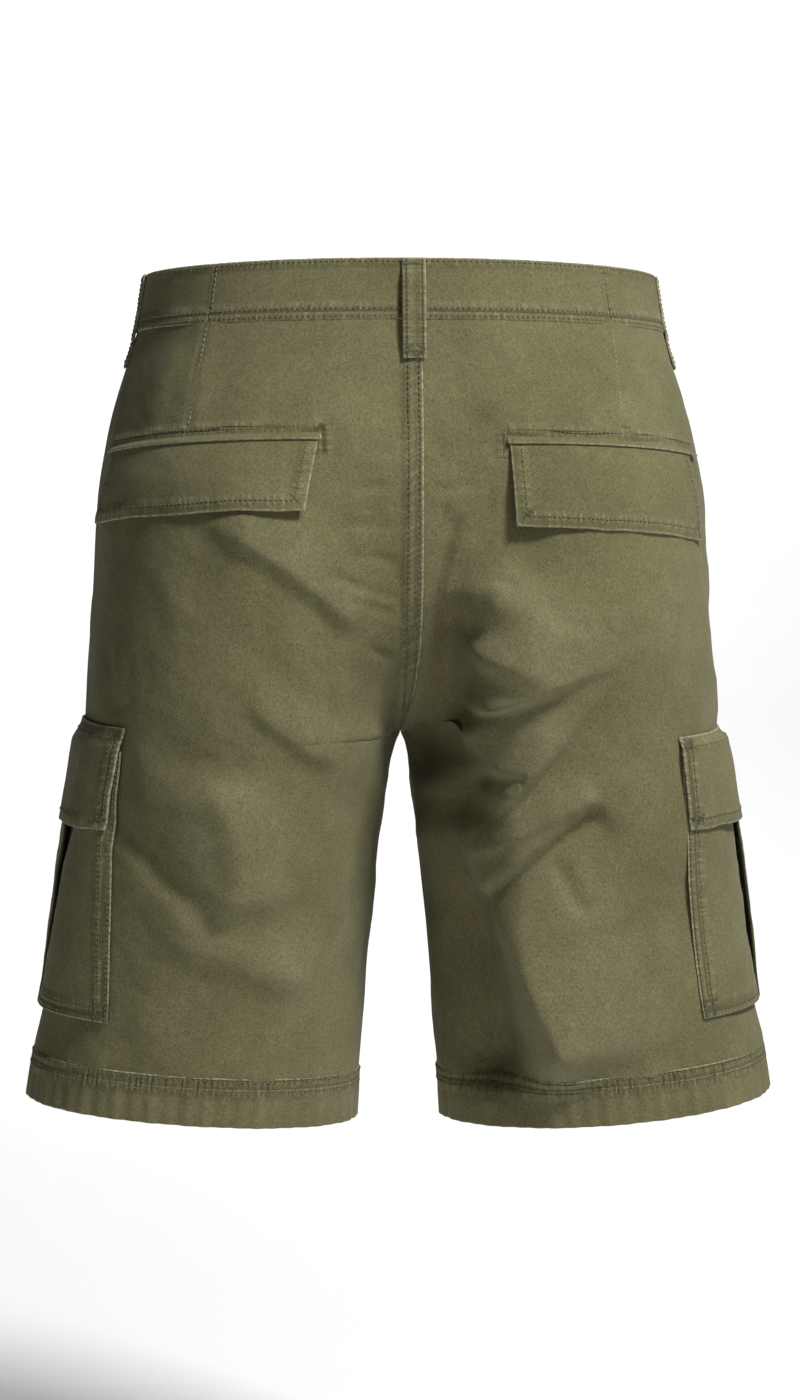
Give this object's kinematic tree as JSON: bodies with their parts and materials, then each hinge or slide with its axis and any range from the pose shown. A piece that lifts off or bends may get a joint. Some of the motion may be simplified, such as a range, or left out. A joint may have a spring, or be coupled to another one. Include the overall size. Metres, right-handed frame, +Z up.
{
  "type": "cargo shorts",
  "caption": "Knee-length twill cargo shorts as worn, hollow and open at waist and hems, with belt loops, flapped back pockets and pleated side pockets.",
  "frame": {"origin": "middle of the waist opening, level with the waistband's top edge at the centre back", "axes": "+Z up, the front of the garment faces -Y, +X towards the wearer's left side"},
  "size_m": [0.4486, 0.2446, 0.5056],
  "materials": {
    "twill": "washed cotton twill, matt, with paler worn edges",
    "band_twill": "washed cotton twill, matt, several layers",
    "button": "satin"
  },
  "bodies": {
    "root": {"back_panel_left": "twill", "back_panel_right": "twill", "front_panel_left": "twill", "front_panel_right": "twill", "hem_left": "twill", "hem_right": "twill", "band_back": "band_twill", "band_left": "band_twill", "band_right": "band_twill", "belt_loop_back": "band_twill", "belt_loop_side_left": "band_twill", "belt_loop_side_right": "band_twill", "belt_loop_front_left": "band_twill", "belt_loop_front_right": "band_twill", "back_welt_left": "twill", "back_welt_right": "twill", "back_flap_left": "twill", "back_flap_right": "twill", "cargo_pocket_left": "twill", "cargo_pocket_right": "twill", "cargo_flap_left": "twill", "cargo_flap_right": "twill", "fly_shield": "twill", "waist_button": "button"}
  },
  "joints": []
}
